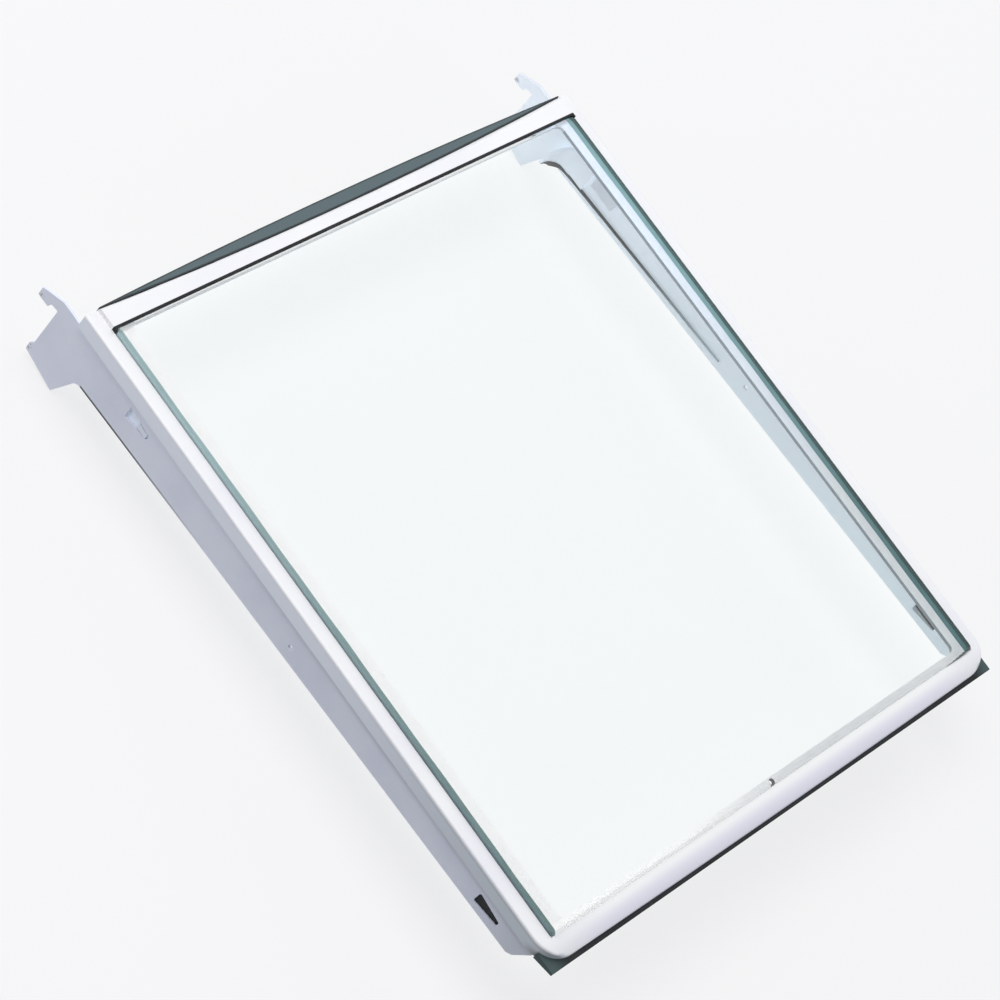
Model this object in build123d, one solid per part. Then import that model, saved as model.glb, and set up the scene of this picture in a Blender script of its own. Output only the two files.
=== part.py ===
from build123d import *
import os

# Cantilever glass shelf for a refrigerator: a pane in a white moulded rim on two hooked steel arms.
# X points right, Y to the rear and Z up, from the middle of the pane's top face. Sizes are millimetres.

# Glass pane, and the seal behind it
glass_width = 385.0
glass_depth = 403.0
glass_thickness = 5.0
glass_edge_round = 2.2
glass_corner = 3.0
glass_proud = 3.0
pane_clearance = 0.3
seal_thickness = 1.5
seal_round = 0.5

# Moulded rim: side strips, front bar, rear flange
side_strip = 9.2
strip_edge_round = 1.4
bar_depth = 13.2
bar_bow = 1.0
bar_drop = 5.0
bar_flat = 1.0
corner_radius = 18.0
flange_depth = 13.3
flange_end_inset = 9.0
flange_crest = 2.5
flange_skin = 2.5
skirt_height = 11.0
wall = 2.0
deck_thickness = 2.5

# Ledge under the pane, and the ribs under the front bar and the rear flange
ledge_thickness = 2.5
side_ledge = 12.5
front_ledge = 5.5
rear_ledge = 3.0
opening_corner = 4.0
drain_hole = 3.6
rib_thickness = 1.6
rib_pitch = 48.0
rib_pairs = 4
rib_clear = 2.0

# Soft strips along the front and the rear
bumper_proud = 2.2
bumper_depth = 5.6
bumper_height = 5.0
bumper_end_inset = 0.4
bumper_return = 8.0
bumper_rise = 3.0
bumper_edge_round = 0.6
rear_hollow = 4.8
rear_crown = 3.6
rear_end_inset = 4.0
rear_tip_trim = 6.0
rear_tip_depth = 0.45
rear_strip_step = 0.8
rear_strip_round = 0.9

# Steel arms
arm_thickness = 2.0
arm_clearance = 0.2
arm_corner = 0.9
arm_gap = 0.4
nose_lead = 0.8
nose_blunt = 2.0
nose_run = 6.1
chin_run = 9.4
chin_rise = 2.7
front_drop = 18.8
rear_drop = 33.0
heel_back = 20.8
heel_run = 3.0
heel_rise = 2.2
foot_drop = 56.7
toe_back = 9.3
foot_rise = 4.8
tab_height = 6.3
tab_depth = 2.2
tab_slope = 2.6
plate_tail = 15.2

# Hooks at the rear ends of the arms
hook_reach = 15.3
hook_fall = 7.0
hook_neck = 9.0
notch_width = 5.6
notch_slope = 1.0
hook_lip = 4.8

# Tapered slots, the rear ones for the rim's snap legs, and one small hole in each arm
slot_length = 18.4
slot_height_rear = 9.2
slot_height_front = 3.8
slot_corner = 1.2
slot_drop = 10.9
front_slot_lead = 23.2
rear_slot_back = 56.2
lug_length = 8.0
lug_clearance = 0.2
leg_margin = 1.0
plug_sink = 0.9
arm_hole = 3.2
arm_hole_drop = 16.2
arm_hole_offset = 7.4

# Bent ears welded inside the rear lower corners of the arms
ear_thickness = 1.5
ear_bend = 12.0
ear_reach = 16.4
ear_length = 26.0
ear_height = 18.0
ear_drop = 26.0
ear_tip = 2.5
ear_back = 22.8

# Levels and edges that follow from the sizes above
glass_x = glass_width / 2
glass_y = glass_depth / 2
edge_round = min(glass_edge_round, 0.45 * glass_thickness)
ledge_top = -glass_thickness
ledge_under = ledge_top - ledge_thickness
strip_top = -glass_proud
deck_under = strip_top - deck_thickness
skirt_bottom = strip_top - skirt_height
bar_edge = strip_top - bar_drop
bumper_top = skirt_bottom + bumper_height
pocket_x = glass_x + pane_clearance
pocket_front = -glass_y - pane_clearance
flange_front = glass_y + seal_thickness
rim_x = pocket_x + side_strip
rim_front = pocket_front - bar_depth
rim_rear = flange_front + flange_depth
corner_rear = rim_front + bar_bow + corner_radius
opening_front = pocket_front + front_ledge
opening_rear = flange_front - rear_ledge
opening_y = (opening_front + opening_rear) / 2
opening_width = 2 * (pocket_x - side_ledge)
opening_depth = opening_rear - opening_front
flange_x = rim_x - flange_end_inset
hollow_x = rim_x - rear_end_inset
bumper_front = rim_front - bumper_proud
bumper_back = bumper_front + bumper_depth
arm_outer = rim_x - wall - arm_clearance
arm_inner = arm_outer - arm_thickness
rib_outer = arm_inner - arm_clearance
rib_inner = rib_outer - wall
slot_level = skirt_bottom - slot_drop
front_slot = front_slot_lead - glass_y
rear_slot = glass_y - rear_slot_back

# A length past every edge, for cuts that run right through
far = glass_width + glass_depth


def block(x0, x1, y0, y1, z0, z1):
    middle = Pos((x0 + x1) / 2, (y0 + y1) / 2, (z0 + z1) / 2)
    return middle * Box(x1 - x0, y1 - y0, z1 - z0)


def slab(y0, y1, z0, z1):
    return block(-far, far, y0, y1, z0, z1)


def both_sides(solid):
    return solid + mirror(solid, about=Plane.YZ)


def hollow_arc():
    return ThreePointArc((-hollow_x, rim_rear), (0, rim_rear - rear_hollow), (hollow_x, rim_rear))


def rim_outline():
    # plan of the rim: bowed front, round front corners, hollow rear edge
    bow = ThreePointArc((-rim_x, rim_front + bar_bow), (0, rim_front), (rim_x, rim_front + bar_bow))
    sides = Polyline(bow @ 1, (rim_x, rim_rear), (-rim_x, rim_rear), bow @ 0)
    outline = make_face([bow, sides])
    outline = fillet(outline.vertices().sort_by(Axis.Y)[:2], corner_radius)
    hollow = hollow_arc()
    return outline - make_face([hollow, Line(hollow @ 1, hollow @ 0)])


def rim_body(outline):
    # side strips below the glass top, rear flange level with it
    body = extrude(Pos(0, 0, skirt_bottom) * outline, amount=-skirt_bottom)
    flange = block(-flange_x, flange_x, flange_front, far, strip_top, far)
    body -= slab(-far, far, strip_top, far) - flange
    crest = body.edges().group_by(Axis.Z)[-1].sort_by(Axis.Y)[-1]
    body = fillet(crest, flange_crest)
    # convex top of the front bar
    start = (pocket_front - bar_flat, strip_top)
    fall = TangentArc(start, (rim_front, bar_edge), tangent=(-1, 0))
    above = Polyline(fall @ 1, (-far, bar_edge), (-far, far), (start[0], far), start)
    body -= extrude(Plane.YZ * make_face([fall, above]), amount=far, both=True)
    strip_edges = body.edges().filter_by(Axis.Y).group_by(Axis.Z)[1].sort_by(Axis.X)
    body = fillet([strip_edges[0], strip_edges[-1]], strip_edge_round)
    return body - slab(-far, bumper_back, skirt_bottom, bumper_top)


def rim_cavity(outline):
    # hollow underside inside the walls, up to the ledge; the cross ribs stay
    inside = Pos(0, bumper_back + wall + far / 2) * Rectangle(2 * rib_inner, far)
    ring = offset(outline, amount=-wall) & inside
    cavity = extrude(Pos(0, 0, skirt_bottom) * ring, amount=ledge_under - skirt_bottom)
    back = rim_rear - rear_hollow - wall
    cavity += block(wall - flange_x, flange_x - wall, flange_front + wall, back, skirt_bottom, -flange_skin)
    for pair in range(rib_pairs):
        x = (pair + 0.5) * rib_pitch
        rib = block(x - rib_thickness / 2, x + rib_thickness / 2, -far, far, skirt_bottom + rib_clear, 0)
        cavity -= both_sides(rib)
    return cavity


def slot_shape(x0, x1, front):
    # slot with a low front end and a tall rear end
    low = slot_height_front / 2
    tall = slot_height_rear / 2
    rear = front + slot_length
    side = make_face(Polyline(
        (front, slot_level - low),
        (rear, slot_level - tall),
        (rear, slot_level + tall),
        (front, slot_level + low),
        close=True,
    ))
    side = fillet(side.vertices(), slot_corner)
    return extrude(Plane.YZ.offset(x0) * side, amount=x1 - x0)


def snap_leg():
    # leg that closes the rear slot from behind, with a lug in the low end of the slot
    front = rear_slot + slot_corner
    back = rear_slot + slot_length + leg_margin
    foot = slot_level - slot_height_rear / 2 - leg_margin
    half = slot_height_front / 2 - lug_clearance
    leg = block(rib_inner, rib_outer, rear_slot - leg_margin, back, foot, deck_under)
    lug = block(rib_inner, arm_outer, front, front + lug_length, slot_level - half, slot_level + half)
    return leg + lug


def make_rim():
    outline = rim_outline()
    base = Pos(0, opening_y, skirt_bottom)
    opening = RectangleRounded(opening_width, opening_depth, opening_corner)
    # the cross ribs stop short of the ledge's inner edge
    clear = RectangleRounded(opening_width + 2 * wall, opening_depth + 2 * wall, opening_corner + wall)
    cavity = rim_cavity(outline) + extrude(base * clear, amount=ledge_under - skirt_bottom)
    rim = rim_body(outline) - cavity
    rim -= extrude(base * opening, amount=-skirt_bottom)
    rim -= block(-pocket_x, pocket_x, pocket_front, flange_front, ledge_top, far)
    channel = block(rib_outer, rim_x - wall, corner_rear, rim_rear - wall, skirt_bottom, deck_under)
    rim -= both_sides(channel)
    rim -= Pos(0, pocket_front + front_ledge / 2, ledge_top) * Cylinder(drain_hole / 2, 4 * ledge_thickness)
    return rim + both_sides(snap_leg())


def make_pane():
    pane = block(-glass_x, glass_x, -glass_y, glass_y, -glass_thickness, 0)
    pane = fillet(pane.edges().filter_by(Axis.Z), glass_corner)
    faces = pane.faces().sort_by(Axis.Z)
    return fillet(faces[0].edges() + faces[-1].edges(), edge_round)


def make_seal():
    # strip behind the pane that also fills in round the pane's rear corners
    seal = block(-pocket_x, pocket_x, glass_y - glass_corner / 2, flange_front, ledge_top, 0)
    plan = RectangleRounded(glass_width, glass_depth, glass_corner)
    seal -= extrude(plan, amount=-glass_thickness)
    crest = seal.edges().filter_by(Axis.X).group_by(Axis.Z)[-1].sort_by(Axis.Y)[-1]
    return fillet(crest, seal_round)


def make_front_bumper():
    # straight strip under the bowed bar, with square corners that fill in round the rim's corners
    half = rim_x - bumper_end_inset
    end = bumper_back + bumper_return
    strip = Pos(0, (bumper_front + end) / 2) * Rectangle(2 * half, end - bumper_front)
    behind = Pos(0, bumper_back + far / 2) * Rectangle(2 * far, far)
    strip = strip - (rim_outline() & behind)
    bumper = extrude(Pos(0, 0, skirt_bottom) * strip, amount=bumper_height)
    # the underside rises towards the front
    under = make_face(Polyline(
        (end, skirt_bottom),
        (bumper_front, skirt_bottom),
        (bumper_front, skirt_bottom + bumper_rise),
        close=True,
    ))
    bumper -= extrude(Plane.YZ * under, amount=far, both=True)
    nose = bumper.edges().filter_by(Axis.X).group_by(Axis.Y)[0]
    return fillet(nose, bumper_edge_round)


def make_rear_bumper():
    # crescent that fills the rim's hollow rear edge and stands out behind it
    hollow = hollow_arc()
    tip = rim_rear + rear_tip_depth
    crown = ThreePointArc((hollow_x, tip), (0, rim_rear + rear_crown), (-hollow_x, tip))
    crescent = make_face([hollow, Line(hollow @ 1, crown @ 0), crown, Line(crown @ 1, hollow @ 0)])
    bumper = extrude(Pos(0, 0, skirt_bottom) * crescent, amount=-rear_strip_step - skirt_bottom)
    half = hollow_x - rear_tip_trim
    bumper &= block(-half, half, 0, far, skirt_bottom, 0)
    back = bumper.edges().group_by(Axis.Z)[-1].sort_by(Axis.Y)[-1]
    return fillet(back, rear_strip_round)


def make_arm():
    # left arm: plate in the rim's channel, nose at the front, foot and hook at the rear
    front = -glass_y
    top = skirt_bottom - arm_gap
    inside_front = corner_rear + arm_clearance
    inside_rear = rim_rear - wall - arm_clearance
    chin = skirt_bottom - front_drop
    heel = skirt_bottom - rear_drop
    sole = skirt_bottom - foot_drop
    tail = rim_rear + plate_tail
    tip = tail + hook_reach
    neck = top - hook_neck
    plate = make_face(Polyline(
        (inside_front, deck_under),
        (inside_rear, deck_under),
        (inside_rear, top),
        (tail, top),
        (tip, top - hook_fall),
        (tip, neck - hook_lip),
        (tail + notch_width + notch_slope, neck - hook_lip),
        (tail + notch_width, neck - notch_slope),
        (tail, neck),
        (tail, sole + foot_rise + tab_height + tab_slope),
        (tail + tab_depth, sole + foot_rise + tab_height),
        (tail + tab_depth, sole + foot_rise),
        (rim_rear - toe_back, sole),
        (rim_rear - heel_back + heel_run, heel - heel_rise),
        (rim_rear - heel_back, heel),
        (front + chin_run, chin),
        (front + nose_run, chin + chin_rise),
        (front - nose_lead, top - nose_blunt),
        (front - nose_lead, top),
        (inside_front, top),
        close=True,
    ))
    plate = fillet(plate.vertices(), arm_corner)
    arm = extrude(Plane.YZ.offset(-arm_outer) * plate, amount=arm_thickness)
    for front_end in (front_slot, rear_slot):
        arm -= slot_shape(-arm_outer, -arm_inner, front_end)
    hole = Pos(-arm_outer, arm_hole_offset, skirt_bottom - arm_hole_drop) * Rot(0, 90, 0)
    return arm - hole * Cylinder(arm_hole / 2, 4 * arm_thickness)


def make_plug():
    # dark plug in the left arm's front slot, sunk below the outer face
    return slot_shape(plug_sink - arm_outer, -arm_inner, front_slot)


def make_ear():
    # left ear: one leg on the arm, a wide bend, then a short leg that tapers inward
    outside = -arm_inner
    inside = outside + ear_thickness
    tip = outside + ear_reach
    face = rim_rear - ear_back
    back = face + ear_thickness
    bottom = skirt_bottom - ear_drop
    top = bottom + ear_height
    start = face - ear_length
    plan = make_face(Polyline(
        (outside, start),
        (inside, start),
        (inside, face),
        (tip, face),
        (tip, back),
        (outside, back),
        close=True,
    ))
    corner = plan.vertices().sort_by_distance((inside, face, 0))[0]
    plan = fillet(corner, ear_bend)
    corner = plan.vertices().sort_by_distance((outside, back, 0))[0]
    plan = fillet(corner, ear_bend + ear_thickness)
    ear = extrude(Pos(0, 0, bottom) * plan, amount=ear_height)
    taper = make_face(Polyline(
        (inside, top),
        (tip, bottom + ear_tip),
        (tip, top),
        close=True,
    ))
    return ear - extrude(Plane.XZ * taper, amount=far, both=True)


left_arm = make_arm()
left_ear = make_ear()
left_plug = make_plug()
nodes = {
    "glass_pane": make_pane(),
    "rear_seal": make_seal(),
    "shelf_rim": make_rim(),
    "front_bumper": make_front_bumper(),
    "rear_bumper": make_rear_bumper(),
    "left_arm": left_arm,
    "right_arm": mirror(left_arm, about=Plane.YZ),
    "left_ear": left_ear,
    "right_ear": mirror(left_ear, about=Plane.YZ),
    "left_plug": left_plug,
    "right_plug": mirror(left_plug, about=Plane.YZ),
}

os.makedirs("parts", exist_ok=True)
for name, solid in nodes.items():
    export_step(solid, f"parts/{name}.step")
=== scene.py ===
import bpy
import math
import numpy as np
from mathutils import Matrix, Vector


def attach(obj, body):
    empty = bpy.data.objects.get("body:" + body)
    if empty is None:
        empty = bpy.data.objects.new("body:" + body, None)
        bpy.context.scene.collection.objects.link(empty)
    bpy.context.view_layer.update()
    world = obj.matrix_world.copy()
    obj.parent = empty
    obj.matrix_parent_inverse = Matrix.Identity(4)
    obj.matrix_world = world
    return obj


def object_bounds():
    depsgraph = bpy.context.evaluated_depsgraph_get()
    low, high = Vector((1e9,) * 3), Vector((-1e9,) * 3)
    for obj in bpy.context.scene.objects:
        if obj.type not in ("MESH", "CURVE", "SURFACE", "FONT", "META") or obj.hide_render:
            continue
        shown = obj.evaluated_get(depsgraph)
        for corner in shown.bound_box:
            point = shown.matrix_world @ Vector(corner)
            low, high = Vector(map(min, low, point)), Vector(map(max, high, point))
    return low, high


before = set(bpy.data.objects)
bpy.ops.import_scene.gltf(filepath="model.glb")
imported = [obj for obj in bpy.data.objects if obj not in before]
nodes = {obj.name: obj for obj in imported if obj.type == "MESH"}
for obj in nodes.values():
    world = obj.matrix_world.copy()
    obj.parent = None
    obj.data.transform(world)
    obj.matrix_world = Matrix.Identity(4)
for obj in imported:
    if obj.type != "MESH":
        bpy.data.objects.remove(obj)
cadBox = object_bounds()
scene = bpy.context.scene
print("frame loaded:", ", ".join(sorted(nodes)))


def placed(right, up, back, at):
    # matrix of a camera or lamp at a point, looking away from back
    turn = np.eye(4)
    turn[:3, 0], turn[:3, 1], turn[:3, 2], turn[:3, 3] = right, up, back, at
    return Matrix(turn.tolist())


# camera: long lens from the left and above, rolled as the photograph is; distances in metres
cameraView = {
    "azimuth": -78.27,
    "elevation": 47.70,
    "roll": 45.0,
    "distance": 2.1243,
    "across": 0.03661,
    "upward": 0.002975,
    "rearward": 0.00045,
    "focalPixels": 3747.1,
    "imagePixels": 1000.0,
    "sensor": 36.0,
    "clip": (0.05, 50.0),
}


def placeCamera(view):
    a, e, r = (math.radians(view[k]) for k in ("azimuth", "elevation", "roll"))
    back = np.array([math.sin(a) * math.cos(e), -math.cos(a) * math.cos(e), math.sin(e)])
    right = np.array([math.cos(a), math.sin(a), 0.0])
    up = np.cross(back, right)
    camX = math.cos(r) * right + math.sin(r) * up
    camY = -math.sin(r) * right + math.cos(r) * up
    place = view["distance"] * back - view["across"] * camX - view["upward"] * camY
    place[1] += view["rearward"]
    data = bpy.data.cameras.new("photoCamera")
    data.sensor_width = view["sensor"]
    data.lens = view["focalPixels"] * view["sensor"] / view["imagePixels"]
    data.clip_start, data.clip_end = view["clip"]
    cam = bpy.data.objects.new("photoCamera", data)
    scene.collection.objects.link(cam)
    cam.matrix_world = placed(camX, camY, back, place)
    scene.camera = cam


placeCamera(cameraView)
print("camera placed")


# small helpers for node trees: a value may be a socket or a plain number
def feed(tree, value, socket):
    if isinstance(value, bpy.types.NodeSocket):
        tree.links.new(value, socket)
    else:
        socket.default_value = value


def calc(tree, operation, first, second=0.0, clamp=False):
    node = tree.nodes.new("ShaderNodeMath")
    node.operation = operation
    node.use_clamp = clamp
    feed(tree, first, node.inputs[0])
    feed(tree, second, node.inputs[1])
    return node.outputs[0]


def product(tree, first, *others):
    for other in others:
        first = calc(tree, "MULTIPLY", first, other)
    return first


def distance(tree, across, along):
    # root of the sum of two squares
    square = calc(tree, "ADD", product(tree, across, across), product(tree, along, along))
    return calc(tree, "SQRT", square)


def ramp(tree, value, start, end, low=0.0, high=1.0):
    # eased step: low below start, high above end
    node = tree.nodes.new("ShaderNodeMapRange")
    node.interpolation_type = "SMOOTHSTEP"
    feed(tree, value, node.inputs["Value"])
    feed(tree, start, node.inputs["From Min"])
    feed(tree, end, node.inputs["From Max"])
    feed(tree, low, node.inputs["To Min"])
    feed(tree, high, node.inputs["To Max"])
    return node.outputs["Result"]


def fall(tree, value, start, end):
    # eased step down: 1 below start, 0 above end
    return ramp(tree, value, start, end, 1.0, 0.0)


def axes(tree):
    # x, y and z of the object's own coordinates, in metres
    coords = tree.nodes.new("ShaderNodeTexCoord")
    split = tree.nodes.new("ShaderNodeSeparateXYZ")
    tree.links.new(coords.outputs["Object"], split.inputs[0])
    return split.outputs


def mixShaders(tree, share, first, second):
    node = tree.nodes.new("ShaderNodeMixShader")
    feed(tree, share, node.inputs[0])
    tree.links.new(first.outputs[0], node.inputs[1])
    tree.links.new(second.outputs[0], node.inputs[2])
    return node


def emptyTree(holder):
    holder.use_nodes = True
    holder.node_tree.nodes.clear()
    return holder.node_tree


# stage: pale floor under the lowest point, pale surroundings for what sees or reflects them
stageLook = {
    "paleGrey": 0.922,
    "floorGrey": 0.932,
    "bounceGrey": 0.30,
    "underGrey": 0.87,
    "underMiddle": 0.08,
    "underReach": (0.17, 0.22),
    "ambient": (0.375, 0.390, 0.445),
    "floorShadow": 0.25,
    "throughGain": 0.095,
    "halfSize": 6.0,
    "lift": 0.0004,
}


def paleForSeeing(tree):
    # 1 for rays that look at the stage, also through the glass, 0 for rays that only gather light
    path = tree.nodes.new("ShaderNodeLightPath").outputs
    looks = calc(tree, "MAXIMUM", path["Is Camera Ray"], path["Is Glossy Ray"])
    looks = calc(tree, "MAXIMUM", looks, path["Is Transmission Ray"])
    return product(tree, looks, calc(tree, "LESS_THAN", path["Diffuse Depth"], 0.5))


def makeRoom(look):
    scene.world = bpy.data.worlds.new("softRoom")
    tree = emptyTree(scene.world)
    out = tree.nodes.new("ShaderNodeOutputWorld")
    gather = tree.nodes.new("ShaderNodeBackground")
    gather.inputs["Color"].default_value = (*look["ambient"], 1.0)
    seen = tree.nodes.new("ShaderNodeBackground")
    seen.inputs["Color"].default_value = (look["paleGrey"],) * 3 + (1.0,)
    room = mixShaders(tree, paleForSeeing(tree), gather, seen)
    tree.links.new(room.outputs[0], out.inputs["Surface"])


def paintFloor(look):
    mat = bpy.data.materials.new("paleFloorPaint")
    tree = emptyTree(mat)
    out = tree.nodes.new("ShaderNodeOutputMaterial")
    # under the shelf the floor is painted paler for light-gathering rays: a painted pool of bounce light
    # standing in for light that came through the pane
    x, y = axes(tree)[:2]
    along = calc(tree, "ABSOLUTE", calc(tree, "SUBTRACT", y, look["underMiddle"]))
    off = calc(tree, "MAXIMUM", calc(tree, "ABSOLUTE", x), along)
    bounce = tree.nodes.new("ShaderNodeBsdfDiffuse")
    under = ramp(tree, off, *look["underReach"], look["underGrey"], look["bounceGrey"])
    tree.links.new(under, bounce.inputs["Color"])
    shaded = tree.nodes.new("ShaderNodeBsdfDiffuse")
    shaded.inputs["Color"].default_value = (look["floorGrey"],) * 3 + (1.0,)
    # what the pane takes away is made up for where the floor is seen through it
    through = tree.nodes.new("ShaderNodeLightPath").outputs["Is Transmission Ray"]
    plain = tree.nodes.new("ShaderNodeEmission")
    lifted = calc(tree, "ADD", product(tree, through, look["throughGain"]), look["floorGrey"])
    tree.links.new(lifted, plain.inputs["Color"])
    seen = mixShaders(tree, look["floorShadow"], plain, shaded)
    floor = mixShaders(tree, paleForSeeing(tree), bounce, seen)
    tree.links.new(floor.outputs[0], out.inputs["Surface"])
    return mat


def layFloor(look):
    level = cadBox[0].z - look["lift"]
    h = look["halfSize"]
    mesh = bpy.data.meshes.new("paleFloor")
    corners = [(-h, -h, level), (h, -h, level), (h, h, level), (-h, h, level)]
    mesh.from_pydata(corners, [], [(0, 1, 2, 3)])
    mesh.materials.append(paintFloor(look))
    floor = bpy.data.objects.new("paleFloor", mesh)
    scene.collection.objects.link(floor)


makeRoom(stageLook)
layFloor(stageLook)

# lamps: a broad one overhead and to the rear, weaker ones on the left, on the right and in front
lampSet = {
    "overhead": {"at": (-0.3, 0.6, 1.9), "size": 1.6, "watts": 23.3, "tint": (1.0, 0.99, 0.955)},
    "leftFill": {"at": (-1.1, 0.8, 0.35), "size": 0.6, "watts": 3.0, "tint": (0.95, 0.96, 1.0)},
    "rightFill": {"at": (1.0, 0.2, 0.75), "size": 0.8, "watts": 2.3, "tint": (0.97, 1.0, 0.98)},
    "frontFill": {"at": (0.25, -1.3, 0.9), "size": 0.8, "watts": 1.9, "tint": (1.0, 1.0, 1.0)},
}


def hangLamps(lamps):
    spared = bpy.data.collections.new("lampSpared")
    spared.objects.link(nodes["glass_pane"])
    spared.collection_objects[0].light_linking.link_state = "EXCLUDE"
    for name, lamp in lamps.items():
        data = bpy.data.lights.new(name, "AREA")
        data.shape = "DISK"
        data.size = lamp["size"]
        data.energy = lamp["watts"]
        data.color = lamp["tint"]
        obj = bpy.data.objects.new(name, data)
        scene.collection.objects.link(obj)
        away = np.array(lamp["at"]) / np.linalg.norm(lamp["at"])
        side = np.cross((0.0, 1.0, 0.0), away)
        side /= np.linalg.norm(side)
        obj.matrix_world = placed(side, np.cross(away, side), away, lamp["at"])
        obj.visible_camera = False
        obj.visible_transmission = False
        obj.light_linking.receiver_collection = spared  # no mirror image of the lamp in the pane


hangLamps(lampSet)
print("stage and lamps ready")


def blendColours(tree, mask, first, second):
    node = tree.nodes.new("ShaderNodeMix")
    node.data_type = "RGBA"
    feed(tree, mask, node.inputs[0])
    for colour, socket in ((first, node.inputs[6]), (second, node.inputs[7])):
        feed(tree, colour if isinstance(colour, bpy.types.NodeSocket) else (*colour, 1.0), socket)
    return node.outputs[2]


def newGroup(name, values, outputs):
    tree = bpy.data.node_groups.new(name, "ShaderNodeTree")
    for label, start in values.items():
        socket = tree.interface.new_socket(label, in_out="INPUT", socket_type="NodeSocketFloat")
        socket.default_value = start
    for label in outputs:
        tree.interface.new_socket(label, in_out="OUTPUT", socket_type="NodeSocketFloat")
    return tree, tree.nodes.new("NodeGroupInput").outputs, tree.nodes.new("NodeGroupOutput").inputs


def useGroup(tree, group, **values):
    node = tree.nodes.new("ShaderNodeGroup")
    node.node_tree = group
    for label, value in values.items():
        feed(tree, value, node.inputs[label])
    return node.outputs


def noise(tree, vector, scale, detail):
    node = tree.nodes.new("ShaderNodeTexNoise")
    tree.links.new(vector, node.inputs["Vector"])
    feed(tree, scale, node.inputs["Scale"])
    node.inputs["Detail"].default_value = detail
    return node.outputs[0]


def makeGrain():
    # fine grain for the surface and slow mottling for its colour, both in cycles per metre
    tree, given, put = newGroup("surfaceGrain", {"fine": 900.0, "broad": 25.0}, ("grain", "mottle"))
    place = tree.nodes.new("ShaderNodeTexCoord").outputs["Object"]
    tree.links.new(noise(tree, place, given["fine"], detail=2.0), put["grain"])
    tree.links.new(noise(tree, place, given["broad"], detail=3.0), put["mottle"])
    return tree


def makeRubs():
    # light rubs that run front to rear: stretched noise above a threshold, with a soft edge
    values = {"across": 500.0, "along": 40.0, "sparse": 0.62, "soft": 0.12}
    tree, given, put = newGroup("handlingRubs", values, ("rubs",))
    x, y, z = axes(tree)
    squeeze = tree.nodes.new("ShaderNodeCombineXYZ")
    tree.links.new(product(tree, x, given["across"]), squeeze.inputs[0])
    tree.links.new(product(tree, y, given["along"]), squeeze.inputs[1])
    tree.links.new(product(tree, z, given["across"]), squeeze.inputs[2])
    streak = noise(tree, squeeze.outputs[0], 1.0, detail=2.0)
    full = calc(tree, "ADD", given["sparse"], given["soft"])
    tree.links.new(ramp(tree, streak, given["sparse"], full), put["rubs"])
    return tree


def makeSpot():
    # soft round spot on a YZ plate: 1 within the radius, 0 past the radius and its soft rim
    values = {"y": 0.0, "z": 0.0, "radius": 0.003, "soft": 0.001}
    tree, given, put = newGroup("plateSpot", values, ("spot",))
    y, z = axes(tree)[1:]
    away = distance(tree, calc(tree, "SUBTRACT", y, given["y"]), calc(tree, "SUBTRACT", z, given["z"]))
    rim = calc(tree, "ADD", given["radius"], given["soft"])
    tree.links.new(fall(tree, away, given["radius"], rim), put["spot"])
    return tree


surfaceGrain = makeGrain()
handlingRubs = makeRubs()
plateSpot = makeSpot()


def newMaterial(name):
    mat = bpy.data.materials.new(name)
    tree = emptyTree(mat)
    out = tree.nodes.new("ShaderNodeOutputMaterial")
    body = tree.nodes.new("ShaderNodeBsdfPrincipled")
    tree.links.new(body.outputs[0], out.inputs["Surface"])
    return mat, tree, body


def satin(tree, grain, low, high):
    # roughness from low to high over the middle of the grain's range
    return ramp(tree, grain, 0.3, 0.7, low, high)


def swaying(tree, mottle, reach):
    # slow mottle about zero, reach from its lowest to its highest
    return product(tree, calc(tree, "SUBTRACT", mottle, 0.5), reach)


def roughen(tree, body, height, strength, depth):
    bump = tree.nodes.new("ShaderNodeBump")
    bump.inputs["Strength"].default_value = strength
    bump.inputs["Distance"].default_value = depth
    tree.links.new(height, bump.inputs["Height"])
    tree.links.new(bump.outputs[0], body.inputs["Normal"])


# painted light: the emission makes a part glow though it is no lamp
def paintGlow(tree, body, colour):
    feed(tree, colour, body.inputs["Emission Color"])
    body.inputs["Emission Strength"].default_value = 1.0


def dress(mat, *members):
    for member in members:
        mesh = nodes[member].data
        mesh.materials.clear()
        mesh.materials.append(mat)
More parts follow.
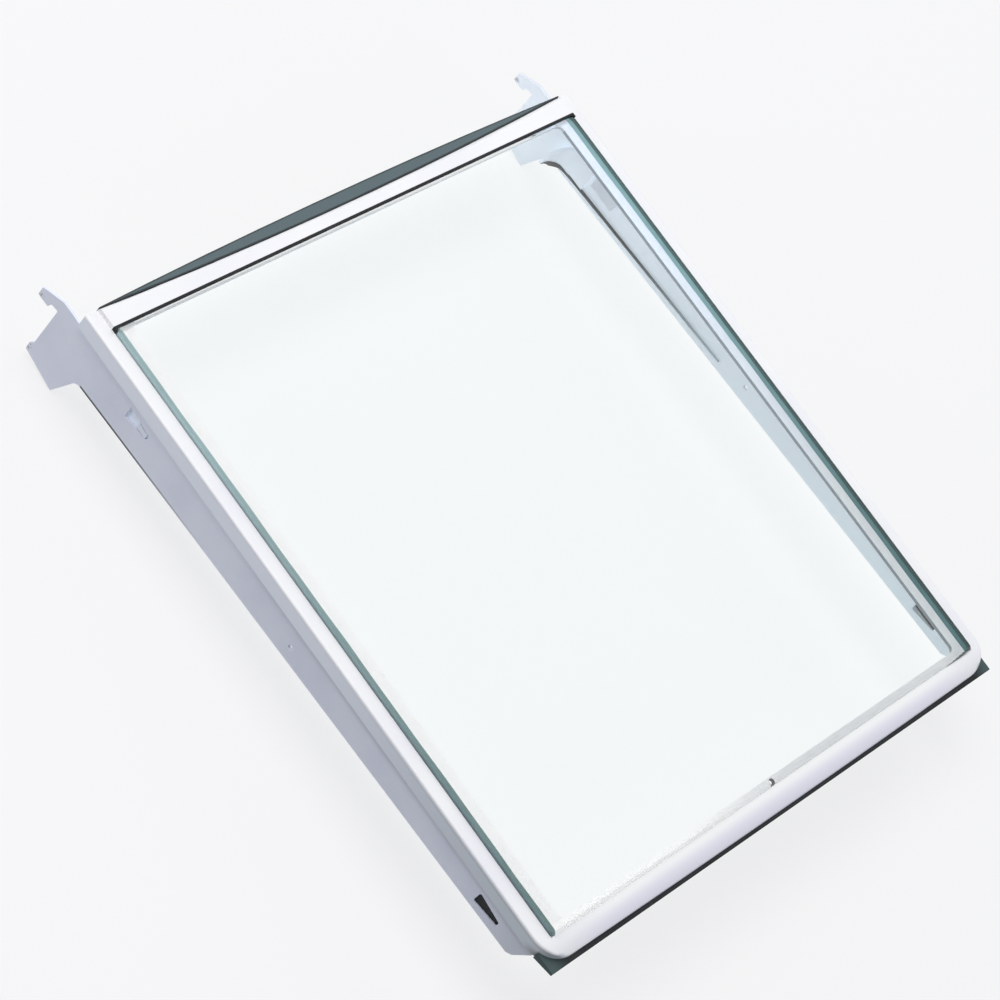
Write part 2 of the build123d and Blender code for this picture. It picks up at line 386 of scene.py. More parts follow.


# white moulding of the rim: satin grain, slow lilac mottling, a faint parting line round the skirt;
# the front bar has a painted highlight on top and painted shade down its front, the sides painted cool
# shade below the strips;
# the thin ledge and the snap legs have a painted glow, and the ledge has painted shade along its inner edge
# at the sides; the drain hole has painted shade, and painted shade darkens the skirt forward, to grey-green
# low at the front corners
mouldingLook = {
    "white": (0.893, 0.890, 0.886),
    "lilac": (0.857, 0.850, 0.876),
    "mottle": (0.35, 0.68),
    "rubbed": (0.82, 0.825, 0.845),
    "rubs": {"across": 420.0, "along": 30.0, "sparse": 0.66},
    "rubWeight": 0.30,
    "rubRough": 0.08,
    "barPaintedHighlight": (0.950, 0.950, 0.930),
    "barPaintedShade": (0.825, 0.822, 0.885),
    "barAlong": (-0.2030, -0.2105),
    "barFrom": (-0.2016, -0.2018),
    "barSide": (0.140, 0.195),
    "cool": (0.860, 0.900, 0.965),
    "coolFrom": (-0.0056, -0.0044),
    "coolBehind": (-0.2005, -0.1995),
    "ledgeLevel": -0.005,
    "ledgeNear": 0.0003,
    "ledgeEdgePaintedShade": (0.34, 0.38, 0.43),
    "ledgeInner": (0.1804, 0.1807),
    "ledgeTop": (-0.0053, -0.0051),
    "ledgeEnds": (0.1955, 0.1960),
    "ledgeWhite": (0.868, 0.866, 0.885),
    "pocket": (0.1929, 0.1931),
    "pocketFront": (-0.2020, -0.2018),
    "paintedGlow": (0.094, 0.091, 0.090),
    "rightPaintedGlow": (0.070, 0.085, 0.120),
    "rightAlong": (-0.14, 0.18),
    "rightFrom": (0.175, 0.180),
    "frontPaintedGlow": (0.120, 0.117, 0.114),
    "frontPaintedFaint": (0.025, 0.025, 0.030),
    "frontFrom": (-0.1962, -0.1950),
    "frontAlong": (-0.090, 0.030),
    "legPaintedGlow": (0.070, 0.082, 0.095),
    "legLow": (-0.0152, -0.0146),
    "legInner": (0.1974, 0.1978),
    "skirtShade": (0.47, 0.52, 0.54),
    "skirtCentre": (0.184, -0.196),
    "skirtOuter": (0.0163, 0.0168),
    "skirtSide": (0.187, 0.194),
    "skirtAlong": (0.02, -0.20),
    "skirtLine": (-0.0070, -0.0056),
    "skirtWeight": (0.60, 0.95),
    "drainPaintedShade": (0.03, 0.035, 0.035),
    "drainAt": -0.19905,
    "drainRadius": (0.00185, 0.00205),
    "cornerPaintedShade": (0.115, 0.150, 0.148),
    "cornerFrom": (-0.1920, -0.2090),
    "cornerLow": (-0.0075, -0.0125),
    "cornerSide": (0.186, 0.199),
    "fine": 950.0,
    "broad": 16.0,
    "roughness": (0.30, 0.46),
    "bump": 0.10,
    "depth": 0.00025,
    "partingLevel": -0.0098,
    "partingHalf": 0.00035,
}


def shadeMoulding(tree, look, rubs, mottle, ledge):
    tone = blendColours(tree, ramp(tree, mottle, *look["mottle"]), look["white"], look["lilac"])
    tone = blendColours(tree, product(tree, rubs, look["rubWeight"]), tone, look["rubbed"])
    x, y, z = axes(tree)
    side = calc(tree, "ABSOLUTE", x)
    # painted highlight on the bar's top and painted shade down its front
    bar = blendColours(tree, ramp(tree, y, *look["barAlong"]), look["barPaintedHighlight"], look["barPaintedShade"])
    front = product(tree, ramp(tree, y, *look["barFrom"]), fall(tree, side, *look["barSide"]))
    tone = blendColours(tree, front, tone, bar)
    # painted cool shade on the sides below the strips, behind the front bar
    low = fall(tree, z, *look["coolFrom"])
    cool = product(tree, low, ramp(tree, y, *look["coolBehind"]))
    tone = blendColours(tree, cool, tone, look["cool"])
    tone = blendColours(tree, ledge, tone, look["ledgeWhite"])
    # painted shade along the ledge's inner edge at the sides
    ends = fall(tree, calc(tree, "ABSOLUTE", y), *look["ledgeEnds"])
    edge = product(tree, fall(tree, side, *look["ledgeInner"]), fall(tree, z, *look["ledgeTop"]), ends)
    tone = blendColours(tree, edge, tone, look["ledgeEdgePaintedShade"])
    # painted shade on the outer skirt, darker forward and along a line under the strips' top edge
    # distance from the front corner's centre, or from the line behind it along the side
    over = calc(tree, "MAXIMUM", calc(tree, "SUBTRACT", side, look["skirtCentre"][0]), 0.0)
    ahead = calc(tree, "MAXIMUM", calc(tree, "SUBTRACT", look["skirtCentre"][1], y), 0.0)
    outer = ramp(tree, distance(tree, over, ahead), *look["skirtOuter"])
    outer = product(tree, outer, ramp(tree, side, *look["skirtSide"]), ramp(tree, y, *look["skirtAlong"]))
    line = ramp(tree, z, *look["skirtLine"], *look["skirtWeight"])
    tone = blendColours(tree, product(tree, outer, low, line), tone, look["skirtShade"])
    # painted grey-green shade low at the front corners
    corner = product(tree, ramp(tree, y, *look["cornerFrom"]), ramp(tree, z, *look["cornerLow"]))
    corner = product(tree, corner, ramp(tree, side, *look["cornerSide"]))
    tone = blendColours(tree, corner, tone, look["cornerPaintedShade"])
    # painted shade in the drain hole
    away = distance(tree, x, calc(tree, "SUBTRACT", y, look["drainAt"]))
    return blendColours(tree, fall(tree, away, *look["drainRadius"]), tone, look["drainPaintedShade"])


def makeMoulding(look):
    mat, tree, body = newMaterial("whiteMoulding")
    grain, mottle = useGroup(tree, surfaceGrain, fine=look["fine"], broad=look["broad"])
    rubs = useGroup(tree, handlingRubs, **look["rubs"])[0]
    x, y, z = axes(tree)
    side = calc(tree, "ABSOLUTE", x)
    # the ledge's top face under the pane, the right side apart from the rest
    level = calc(tree, "ABSOLUTE", calc(tree, "SUBTRACT", z, look["ledgeLevel"]))
    ledge = calc(tree, "LESS_THAN", level, look["ledgeNear"])
    ledge = product(tree, ledge, fall(tree, side, *look["pocket"]))
    ledge = product(tree, ledge, ramp(tree, y, *look["pocketFront"]))
    right = product(tree, ledge, ramp(tree, x, *look["rightFrom"]))
    ledge = calc(tree, "SUBTRACT", ledge, right)
    feed(tree, shadeMoulding(tree, look, rubs, mottle, ledge), body.inputs["Base Color"])
    # painted glow on the ledge under the pane, stronger at the front left and bluish at the right, and on
    # the snap legs
    front = product(tree, ledge, fall(tree, y, *look["frontFrom"]))
    behind = calc(tree, "SUBTRACT", ledge, front)
    ahead = blendColours(tree, ramp(tree, x, *look["frontAlong"]), look["frontPaintedGlow"], look["frontPaintedFaint"])
    paintedGlow = blendColours(tree, behind, (0.0, 0.0, 0.0), look["paintedGlow"])
    paintedGlow = blendColours(tree, front, paintedGlow, ahead)
    right = product(tree, right, ramp(tree, y, *look["rightAlong"]))
    paintedGlow = blendColours(tree, right, paintedGlow, look["rightPaintedGlow"])
    leg = product(tree, fall(tree, z, *look["legLow"]), fall(tree, side, *look["legInner"]))
    paintGlow(tree, body, blendColours(tree, leg, paintedGlow, look["legPaintedGlow"]))
    rough = calc(tree, "ADD", satin(tree, grain, *look["roughness"]), product(tree, rubs, look["rubRough"]))
    feed(tree, rough, body.inputs["Roughness"])
    off = calc(tree, "ABSOLUTE", calc(tree, "SUBTRACT", z, look["partingLevel"]))
    parting = fall(tree, off, 0.0, look["partingHalf"])
    roughen(tree, body, calc(tree, "ADD", grain, parting), look["bump"], look["depth"])
    dress(mat, "shelf_rim")


makeMoulding(mouldingLook)

# white powder coat of the steel: orange peel, weld marks over the ears, paint worn at hook and tab, and a
# painted dark line of shade along the rear lower edge; painted shade outside under the skirt and at the
# front, and painted light, a whiter colour and a glow, on the sides that face the shelf's middle
coatLook = {
    "white": (0.825, 0.848, 0.935),
    "cool": (0.765, 0.795, 0.890),
    "mottle": (0.35, 0.68),
    "rubs": {"across": 600.0, "along": 45.0, "sparse": 0.64},
    "rubWeight": 0.25,
    "rubRough": 0.1,
    "inner": (0.88, 0.955, 1.0),
    "innerSide": (0.1979, 0.1981),
    "innerPaintedGlow": (0.135, 0.145, 0.165),
    "rearPaintedGlow": (0.205, 0.220, 0.255),
    "rearAlong": (0.03, 0.16),
    "rearEnd": (0.190, 0.205),
    "frontPaintedGlow": (0.225, 0.265, 0.285),
    "frontAlong": (-0.03, -0.16),
    "shade": (0.50, 0.54, 0.57),
    "shadeLevel": (-0.0205, -0.0160),
    "shadeAlong": (0.12, -0.08),
    "shadeWeight": 0.7,
    "frontShade": (-0.160, -0.198),
    "frontWeight": 0.5,
    "edgePaintedShade": (0.050, 0.055, 0.060),
    "edgeStart": (-0.1921, -0.0328),
    "edgeSlope": -0.03664,
    "edgeShadeHeight": (0.0011, 0.0017),
    "edgeShadeAlong": (0.070, 0.165),
    "edgeShadeEnd": (0.1935, 0.1955),
    "peel": 520.0,
    "broad": 20.0,
    "chip": {"fine": 2400.0, "broad": 700.0},
    "chipSpan": (0.42, 0.58),
    "fineShare": 0.35,
    "roughness": (0.36, 0.52),
    "bump": 0.16,
    "depth": 0.0006,
    "worn": (0.33, 0.34, 0.35),
    "wornMetal": 0.8,
    "wornTips": ((0.2455, -0.0270), (0.2335, -0.0625)),
    "wornSize": {"radius": 0.0006, "soft": 0.0035},
    "welds": ((0.1740, -0.0275), (0.1740, -0.0350)),
    "weldSize": {"radius": 0.0018, "soft": 0.0012},
    "weldDent": 0.9,
}


def plateSpots(tree, places, size):
    first, second = (useGroup(tree, plateSpot, y=y, z=z, **size)[0] for y, z in places)
    return calc(tree, "MAXIMUM", first, second)


def shadeCoat(tree, look, rubs, mottle, inner):
    tone = blendColours(tree, ramp(tree, mottle, *look["mottle"]), look["white"], look["cool"])
    tone = blendColours(tree, product(tree, rubs, look["rubWeight"]), tone, look["cool"])
    y, z = axes(tree)[1:]
    # painted shade on the outer face under the skirt's edge and towards the front
    under = product(tree, ramp(tree, z, *look["shadeLevel"]), ramp(tree, y, *look["shadeAlong"]))
    tone = blendColours(tree, product(tree, under, look["shadeWeight"]), tone, look["shade"])
    front = product(tree, ramp(tree, y, *look["frontShade"]), look["frontWeight"])
    tone = blendColours(tree, front, tone, look["shade"])
    # height over the lower edge, a straight line in side view
    startY, startZ = look["edgeStart"]
    line = product(tree, calc(tree, "SUBTRACT", y, startY), look["edgeSlope"])
    over = calc(tree, "SUBTRACT", calc(tree, "SUBTRACT", z, startZ), line)
    # painted dark line of shade along the rear lower edge
    edgePaintedShade = product(tree, fall(tree, over, *look["edgeShadeHeight"]), ramp(tree, y, *look["edgeShadeAlong"]))
    edgePaintedShade = product(tree, edgePaintedShade, fall(tree, y, *look["edgeShadeEnd"]))
    tone = blendColours(tree, edgePaintedShade, tone, look["edgePaintedShade"])
    # the faces towards the shelf's middle are painted whiter, as painted light
    return blendColours(tree, inner, tone, look["inner"])


def paintedGlowCoat(tree, look, inner):
    # painted glow on the faces towards the shelf's middle, stronger towards both ends of the right arm
    x, y = axes(tree)[:2]
    right = calc(tree, "GREATER_THAN", x, 0.0)
    rear = product(tree, right, ramp(tree, y, *look["rearAlong"]), fall(tree, y, *look["rearEnd"]))
    front = product(tree, right, ramp(tree, y, *look["frontAlong"]))
    paintedGlow = blendColours(tree, rear, look["innerPaintedGlow"], look["rearPaintedGlow"])
    paintedGlow = blendColours(tree, front, paintedGlow, look["frontPaintedGlow"])
    return blendColours(tree, inner, (0.0, 0.0, 0.0), paintedGlow)


def makeCoat(look):
    mat, tree, body = newMaterial("whitePowderCoat")
    peel, mottle = useGroup(tree, surfaceGrain, fine=look["peel"], broad=look["broad"])
    fine, patch = useGroup(tree, surfaceGrain, **look["chip"])
    rubs = useGroup(tree, handlingRubs, **look["rubs"])[0]
    tips = plateSpots(tree, look["wornTips"], look["wornSize"])
    worn = product(tree, tips, ramp(tree, patch, *look["chipSpan"]))
    inner = fall(tree, calc(tree, "ABSOLUTE", axes(tree)[0]), *look["innerSide"])
    tone = shadeCoat(tree, look, rubs, mottle, inner)
    feed(tree, blendColours(tree, worn, tone, look["worn"]), body.inputs["Base Color"])
    paintGlow(tree, body, paintedGlowCoat(tree, look, inner))
    feed(tree, product(tree, worn, look["wornMetal"]), body.inputs["Metallic"])
    rough = calc(tree, "ADD", satin(tree, peel, *look["roughness"]), product(tree, rubs, look["rubRough"]))
    feed(tree, rough, body.inputs["Roughness"])
    skin = calc(tree, "ADD", peel, product(tree, fine, look["fineShare"]))
    dent = product(tree, plateSpots(tree, look["welds"], look["weldSize"]), look["weldDent"])
    roughen(tree, body, calc(tree, "SUBTRACT", skin, dent), look["bump"], look["depth"])
    dress(mat, "left_arm", "right_arm", "left_ear", "right_ear")


makeCoat(coatLook)

# black soft strips: fine grain, pale rubs, a dull teal painted shade on the front strip's corners; low on
# their inner side the plugs are painted pale, as painted light
blackLook = {
    "black": (0.007, 0.009, 0.010),
    "dusty": (0.015, 0.018, 0.020),
    "mottle": (0.4, 0.7),
    "rubs": {"across": 700.0, "along": 700.0, "sparse": 0.60},
    "rubWeight": 0.3,
    "cornerPaintedTeal": (0.055, 0.085, 0.085),
    "fine": 1300.0,
    "broad": 60.0,
    "roughness": (0.52, 0.72),
    "specular": 0.25,
    "bump": 0.18,
    "depth": 0.0003,
    "cornerSide": (0.186, 0.200),
    "cornerFront": -0.200,
    "plugInner": (0.1979, 0.1981),
    "plugLevel": (-0.0263, -0.0257),
    "plugPaintedLight": (0.62, 0.70, 0.72),
}


def makeBlack(look):
    mat, tree, body = newMaterial("blackSoftStrip")
    grain, mottle = useGroup(tree, surfaceGrain, fine=look["fine"], broad=look["broad"])
    rubs = useGroup(tree, handlingRubs, **look["rubs"])[0]
    x, y, z = axes(tree)
    side = calc(tree, "ABSOLUTE", x)
    tone = blendColours(tree, ramp(tree, mottle, *look["mottle"]), look["black"], look["dusty"])
    tone = blendColours(tree, product(tree, rubs, look["rubWeight"]), tone, look["dusty"])
    # dull teal painted shade on the front strip's corners
    ahead = calc(tree, "LESS_THAN", y, look["cornerFront"])
    corner = product(tree, ramp(tree, side, *look["cornerSide"]), ahead)
    tone = blendColours(tree, corner, tone, look["cornerPaintedTeal"])
    # the plugs are painted pale low on their inner side, as painted light
    inner = product(tree, fall(tree, side, *look["plugInner"]), fall(tree, z, *look["plugLevel"]))
    feed(tree, blendColours(tree, inner, tone, look["plugPaintedLight"]), body.inputs["Base Color"])
    feed(tree, satin(tree, grain, *look["roughness"]), body.inputs["Roughness"])
    body.inputs["Specular IOR Level"].default_value = look["specular"]
    roughen(tree, body, grain, look["bump"], look["depth"])
    dress(mat, "front_bumper", "rear_seal", "left_plug", "right_plug")


makeBlack(blackLook)

# grey-green rear strip, with painted shade darkening it towards its two long edges; it lies between two
# shallow curves in plan
greyLook = {
    "middle": (0.102, 0.140, 0.150),
    "edge": (0.022, 0.030, 0.034),
    "halfLength": 0.198,
    "rear": 0.2163,
    "hollow": 0.0048,
    "crown": 0.0036,
    "tip": 0.00045,
    "rimWidth": (0.0004, 0.0016),
    "wander": 0.0008,
    "fine": 1100.0,
    "broad": 45.0,
    "roughness": (0.50, 0.70),
    "specular": 0.25,
    "bump": 0.16,
    "depth": 0.0003,
}


def makeGrey(look):
    mat, tree, body = newMaterial("greySoftStrip")
    grain, mottle = useGroup(tree, surfaceGrain, fine=look["fine"], broad=look["broad"])
    x, y = axes(tree)[:2]
    part = calc(tree, "DIVIDE", x, look["halfLength"])
    bow = product(tree, part, part)
    front = calc(tree, "ADD", product(tree, bow, look["hollow"]), look["rear"] - look["hollow"])
    drop = product(tree, bow, look["crown"] - look["tip"])
    back = calc(tree, "SUBTRACT", look["rear"] + look["crown"], drop)
    near = calc(tree, "MINIMUM", calc(tree, "SUBTRACT", y, front), calc(tree, "SUBTRACT", back, y))
    inner = calc(tree, "ADD", near, swaying(tree, mottle, look["wander"]))
    # painted shade darkens the strip towards its two long edges
    tone = blendColours(tree, ramp(tree, inner, *look["rimWidth"]), look["edge"], look["middle"])
    feed(tree, tone, body.inputs["Base Color"])
    feed(tree, satin(tree, grain, *look["roughness"]), body.inputs["Roughness"])
    body.inputs["Specular IOR Level"].default_value = look["specular"]
    roughen(tree, body, grain, look["bump"], look["depth"])
    dress(mat, "rear_bumper")


makeGrey(greyLook)

# clear pane: side edges ground with a green cast, the front edge greyer towards the left, faint wipe
# marks on the faces; it lets the lamps' shadow rays pass
paneLook = {
    "absorb": (0.30, 0.78, 0.74),
    "density": 8.0,
    "ior": 1.5,
    "sideEdge": (0.1900, 0.1906),
    "green": (0.72, 0.86, 0.85),
    "frontEdge": (-0.1994, -0.2000),
    "frontAlong": (-0.09, 0.03),
    "frontGrey": (0.72, 0.725, 0.73),
    "edgeRough": 0.12,
    "wipe": 0.025,
    "rubs": {"across": 70.0, "along": 14.0, "sparse": 0.58},
    "broad": 55.0,
}


def makePane(look):
    mat, tree, body = newMaterial("clearPane")
    out = body.outputs[0].links[0].to_node
    x, y = axes(tree)[:2]
    edge = ramp(tree, calc(tree, "ABSOLUTE", x), *look["sideEdge"])
    mottle = useGroup(tree, surfaceGrain, broad=look["broad"])["mottle"]
    rubs = useGroup(tree, handlingRubs, **look["rubs"])[0]
    front = product(tree, ramp(tree, y, *look["frontEdge"]), fall(tree, x, *look["frontAlong"]))
    tone = blendColours(tree, front, (1.0, 1.0, 1.0), look["frontGrey"])
    feed(tree, blendColours(tree, edge, tone, look["green"]), body.inputs["Base Color"])
    matt = product(tree, edge, look["edgeRough"])
    wiped = product(tree, rubs, mottle, look["wipe"])
    feed(tree, calc(tree, "MAXIMUM", matt, wiped), body.inputs["Roughness"])
    body.inputs["IOR"].default_value = look["ior"]
    body.inputs["Transmission Weight"].default_value = 1.0
    shadow = tree.nodes.new("ShaderNodeLightPath").outputs["Is Shadow Ray"]
    glass = mixShaders(tree, shadow, body, tree.nodes.new("ShaderNodeBsdfTransparent"))
    tree.links.new(glass.outputs[0], out.inputs["Surface"])
    absorb = tree.nodes.new("ShaderNodeVolumeAbsorption")
    absorb.inputs["Color"].default_value = (*look["absorb"], 1.0)
    absorb.inputs["Density"].default_value = look["density"]
    tree.links.new(absorb.outputs[0], out.inputs["Volume"])
    dress(mat, "glass_pane")


makePane(paneLook)
print("materials dressed")

# glassy green of the bond and the ground edges: painted shade deepens it from the rear to the front, with a
# slow mottle
greenLook = {
    "along": (-0.19, 0.19),
    "sway": 0.5,
    "fine": 900.0,
    "broad": 35.0,
    "smoothest": 0.8,
}


def greenAlong(name, front, rear, roughness):
    mat, tree, body = newMaterial(name)
    grain, mottle = useGroup(tree, surfaceGrain, fine=greenLook["fine"], broad=greenLook["broad"])
    # painted shade: darker towards the front
    along = ramp(tree, axes(tree)[1], *greenLook["along"])
    along = calc(tree, "ADD", along, swaying(tree, mottle, greenLook["sway"]), clamp=True)
    feed(tree, blendColours(tree, along, front, rear), body.inputs["Base Color"])
    rough = satin(tree, grain, greenLook["smoothest"] * roughness, roughness)
    feed(tree, rough, body.inputs["Roughness"])
    return mat


def carried(name, x, y, z, shades, mats):
    # closed rings of points, one row of x, y and z for each station, joined by quads and capped
    points = np.stack(np.broadcast_arrays(x, y, z), -1)
    steps, count = points.shape[:2]
    i, j = np.meshgrid(np.arange(steps - 1), np.arange(count), indexing="ij")
    k = (j + 1) % count
    here, there = i * count, (i + 1) * count
    walls = np.stack([here + j, there + j, there + k, here + k], -1).reshape(-1, 4)
    near = np.arange(count // 2 - 1)  # end caps: quads between the ring's two long sides
    cap = np.stack([near, near + 1, count - 2 - near, count - 1 - near], -1)
    quads = np.concatenate([walls, cap, cap[:, ::-1] + (steps - 1) * count])
    flat = points.reshape(-1, 3)
    p, q, r, t = (flat[quads[:, n]] for n in range(4))
    inside = np.sum(np.cross(p, q) * r) + np.sum(np.cross(p, r) * t)  # six times the volume
    if inside < 0.0:
        quads = quads[:, ::-1]
    mesh = bpy.data.meshes.new(name)
    mesh.from_pydata(flat.tolist(), [], quads.tolist())
    for mat in mats:
        mesh.materials.append(mat)
    tags = np.concatenate([np.tile(shades, steps - 1), np.zeros(2 * len(cap), int)]).astype(np.int32)
    mesh.polygons.foreach_set("material_index", tags)
    piece = bpy.data.objects.new(name, mesh)
    scene.collection.objects.link(piece)
    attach(piece, "root")
    return piece


# the pane's edges: rounded top and bottom, with round plan corners; skins lie just under their surface
paneEdge = {
    "round": 0.0022,
    "glass": 0.0050,
    "sink": 0.00002,
    "skin": 0.00003,
    "cornerStart": 0.1985,
    "cornerRadius": 0.003,
    "halfLength": 0.2008,
    "steps": 160,
}


def cornerShift(y):
    # how far a circular corner draws the side edge in
    radius = paneEdge["cornerRadius"]
    past = np.maximum(np.abs(y) - paneEdge["cornerStart"], 0.0)
    return radius - np.sqrt(radius ** 2 - past ** 2)


def edgeSkin(angle):
    # closed ring on the rounded edge: out along the angles and back one skin deeper, about a centre that
    # drops half-way; gives how far it stands out and its height
    turn = np.concatenate([angle, angle[..., ::-1]], -1)
    outer = paneEdge["round"] - paneEdge["sink"]
    reach = np.repeat([outer, outer - paneEdge["skin"]], angle.shape[-1])
    drop = np.where(turn > 0.0, -paneEdge["round"], paneEdge["round"] - paneEdge["glass"])
    return reach * np.cos(turn), drop + reach * np.sin(turn)


# bond strips: grey-green adhesive between the pane's side edges and the ledge, seen through the glass;
# each wave is a height in metres and a pace in radians per metre
bondLook = {
    "outer": 0.1914,
    "level": -0.00496,
    "thick": 0.00002,
    "slowWave": (0.000132, 61.0),
    "quickWave": (0.000088, 143.0),
    "roughness": 0.5,
    # the left strip's colours are painted lighter than the right's, as painted light
    "left": {"inner": 0.1877, "rear": (0.49, 0.61, 0.64), "front": (0.18, 0.27, 0.27)},
    "right": {"inner": 0.1868, "rear": (0.35, 0.60, 0.64), "front": (0.068, 0.195, 0.210)},
}


def layBond(side, sign, look):
    # flat four-point ring; its inner edge wanders as a sum of two slow waves
    y = np.linspace(-paneEdge["halfLength"], paneEdge["halfLength"], paneEdge["steps"])
    (slow, slowPace), (quick, quickPace) = look["slowWave"], look["quickWave"]
    inner = look[side]["inner"] + slow * np.sin(slowPace * y + sign) + quick * np.sin(quickPace * y)
    outer = look["outer"] - cornerShift(y)
    x = sign * np.stack([inner, outer, outer, inner], 1)
    z = look["level"] + look["thick"] * np.broadcast_to([0.0, 0.0, 1.0, 1.0], x.shape)
    mat = greenAlong(side + "BondGreen", look[side]["front"], look[side]["rear"], look["roughness"])
    strip = carried(side + "Bond", x, y[:, None], z, np.zeros(4, int), [mat])


layBond("left", -1.0, bondLook)
layBond("right", 1.0, bondLook)
print("bond strips laid")

# ground edges: a thin matt skin on the pane's side edges, pale from outside and deep green from inside
groundLook = {
    "centre": 0.1903,
    "topAngle": 42.0,
    "arcSteps": 12,
    "roughness": 0.6,
    "pale": {"rear": (0.62, 0.72, 0.74), "front": (0.27, 0.36, 0.385)},
    "deep": {"rear": (0.060, 0.145, 0.150), "front": (0.008, 0.058, 0.063)},
}


def grindEdge(side, sign, look, mats):
    # the edge's skin from below the top of the wall to the bottom, carried along the side and its corners
    out, z = edgeSkin(np.radians(np.linspace(look["topAngle"], -90.0, look["arcSteps"])))
    y = np.linspace(-paneEdge["halfLength"], paneEdge["halfLength"], paneEdge["steps"])[:, None]
    x = sign * (look["centre"] + out - cornerShift(y))
    shades = np.repeat([0, 1], look["arcSteps"])
    skin = carried(side + "GroundEdge", x, y, z, shades, mats)


groundMats = []
for shade in ("pale", "deep"):
    ends = groundLook[shade]
    mat = greenAlong("ground" + shade.title(), ends["front"], ends["rear"], groundLook["roughness"])
    groundMats.append(mat)
grindEdge("left", -1.0, groundLook, groundMats)
grindEdge("right", 1.0, groundLook, groundMats)
print("side edges ground")

# a dark green skin on the pane's front edge at the right corner
cornerSkinLook = {
    "from": 0.1690,
    "to": 0.1890,
    "centre": -0.1993,
    "climb": 78.0,
    "ripple": 0.1,
    "ripplePace": 1900.0,
    "lowest": -60.0,
    "arcSteps": 10,
    "steps": 40,
    "roughness": 0.5,
    "dark": (0.020, 0.045, 0.042),
    "green": (0.030, 0.075, 0.070),
}


def layCornerSkin(look):
    # the edge's skin along X; its top angle climbs as the root of the way to the corner, with small waves
    x = np.linspace(look["from"], look["to"], look["steps"])[:, None]
    part = (x - look["from"]) / (look["to"] - look["from"])
    ripple = 1.0 - look["ripple"] + look["ripple"] * np.sin(look["ripplePace"] * x)
    top = look["climb"] * np.sqrt(part) * ripple
    out, z = edgeSkin(np.radians(top + (look["lowest"] - top) * np.linspace(0.0, 1.0, look["arcSteps"])))
    mat = greenAlong("cornerSkinGreen", look["dark"], look["green"], look["roughness"])
    skin = carried("frontCornerSkin", x, look["centre"] - out, z, np.zeros(2 * look["arcSteps"], int), [mat])


layCornerSkin(cornerSkinLook)
print("front corner skin laid")

# ear shade strips: a dark bead of painted shade along each ear's lower edge, round its bend and on along
# the arm, where it thins out and pales to a painted lit tone
earShadeLook = {
    "tip": (0.1818, 0.1935),
    "centre": (0.1843, 0.1815),
    "bend": 0.0120,
    "legStep": 0.0015,
    "legEase": 0.0060,
    "front": 0.0300,
    "level": -0.0400,
    "rise": 0.0450,
    "lift": 0.0003,
    "below": 0.00085,
    "belowFrom": (0.0140, 0.0213),
    "clear": 0.00005,
    "thick": 0.0004,
    "swell": 0.0042,
    "swellAt": 0.0090,
    "swellReach": 0.0085,
    "bead": 0.0013,
    "beadEnd": 0.0005,
    "endRun": 0.020,
    "endShare": 0.03,
    "steps": (10, 40, 100),
    "paleFrom": (0.020, 0.130),
    "dark": (0.016, 0.021, 0.022),
    "pale": (0.62, 0.69, 0.70),
    "sway": 0.3,
    "fine": 1300.0,
    "broad": 60.0,
    "roughness": (0.5, 0.7),
}


def eased(value, start, end):
    part = np.clip((value - start) / (end - start), 0.0, 1.0)
    return part * part * (3.0 - 2.0 * part)


def earShadePlan(look):
    # plan of the bead: straight along the ear's short leg, a quarter circle, then straight forward
    short, turn, long = look["steps"]
    cx, cy = look["centre"]
    leg = np.stack([np.linspace(look["tip"][0], cx, short), np.full(short, look["tip"][1])], 1)
    angle = np.linspace(0.5 * np.pi, 0.0, turn)
    bend = np.stack([cx + look["bend"] * np.cos(angle), cy + look["bend"] * np.sin(angle)], 1)
    arm = np.stack([np.full(long, cx + look["bend"]), np.linspace(cy, look["front"], long)], 1)
    return np.concatenate([leg, bend[1:], arm[1:]])


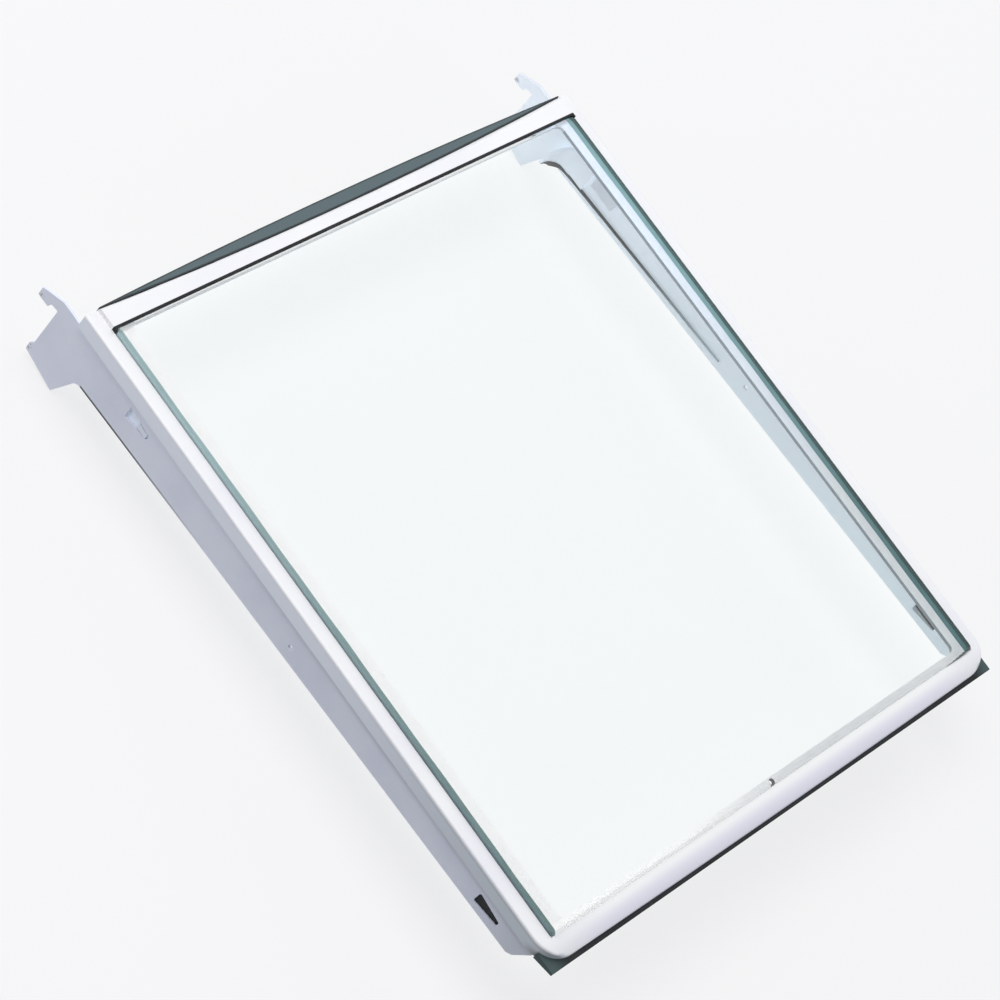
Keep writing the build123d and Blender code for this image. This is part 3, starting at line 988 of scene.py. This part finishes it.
def makeEarShade(look):
    mat, tree, body = newMaterial("earPaintedShade")
    grain, mottle = useGroup(tree, surfaceGrain, fine=look["fine"], broad=look["broad"])
    dark = ramp(tree, axes(tree)[1], *look["paleFrom"])
    dark = calc(tree, "ADD", dark, swaying(tree, mottle, look["sway"]), clamp=True)
    feed(tree, blendColours(tree, dark, look["pale"], look["dark"]), body.inputs["Base Color"])
    feed(tree, satin(tree, grain, *look["roughness"]), body.inputs["Roughness"])
    return mat


def layEarShade(side, sign, look, mat):
    # the bead's height swells at the ear's bend as a bell curve and runs thin at both ends; forward of
    # the bend it lies just under the ear, thick enough to reach the arm, and rises evenly
    plan = earShadePlan(look)
    step = np.linalg.norm(np.diff(plan, axis=0), axis=1)
    s = np.concatenate([[0.0], np.cumsum(step)])
    along = np.gradient(plan, s, axis=0)
    inward = np.stack([along[:, 1], -along[:, 0]], 1) / np.linalg.norm(along, axis=1, keepdims=True)
    ahead = np.maximum(look["centre"][1] - plan[:, 1], 0.0)
    left = 1.0 - ahead / ahead[-1]
    bead = look["beadEnd"] + (look["bead"] - look["beadEnd"]) * left * left
    bell = np.exp(-((s - look["swellAt"]) / look["swellReach"]) ** 2)
    rearEnd = np.clip(s / look["swellAt"], look["endShare"], 1.0)
    frontEnd = np.clip((s[-1] - s) / look["endRun"], look["endShare"], 1.0)
    height = (bead + (look["swell"] - bead) * bell) * rearEnd * frontEnd
    under = (look["lift"] + look["below"]) * eased(s, *look["belowFrom"])
    top = look["level"] + look["lift"] - under + look["rise"] * ahead
    out = look["legStep"] * eased(ahead, 0.0, look["legEase"])
    near = plan + (look["clear"] - out)[:, None] * inward
    far = plan + (look["clear"] + look["thick"]) * inward
    x = sign * np.stack([near[:, 0], near[:, 0], far[:, 0], far[:, 0]], 1)
    y = np.stack([near[:, 1], near[:, 1], far[:, 1], far[:, 1]], 1)
    z = np.stack([top - height, top, top, top - height], 1)
    earShadeStrip = carried(side + "EarShade", x, y, z, np.zeros(4, int), [mat])


earPaintedShade = makeEarShade(earShadeLook)
layEarShade("left", -1.0, earShadeLook, earPaintedShade)
layEarShade("right", 1.0, earShadeLook, earPaintedShade)
print("ear shade strips laid")

scene.view_settings.view_transform = "Standard"
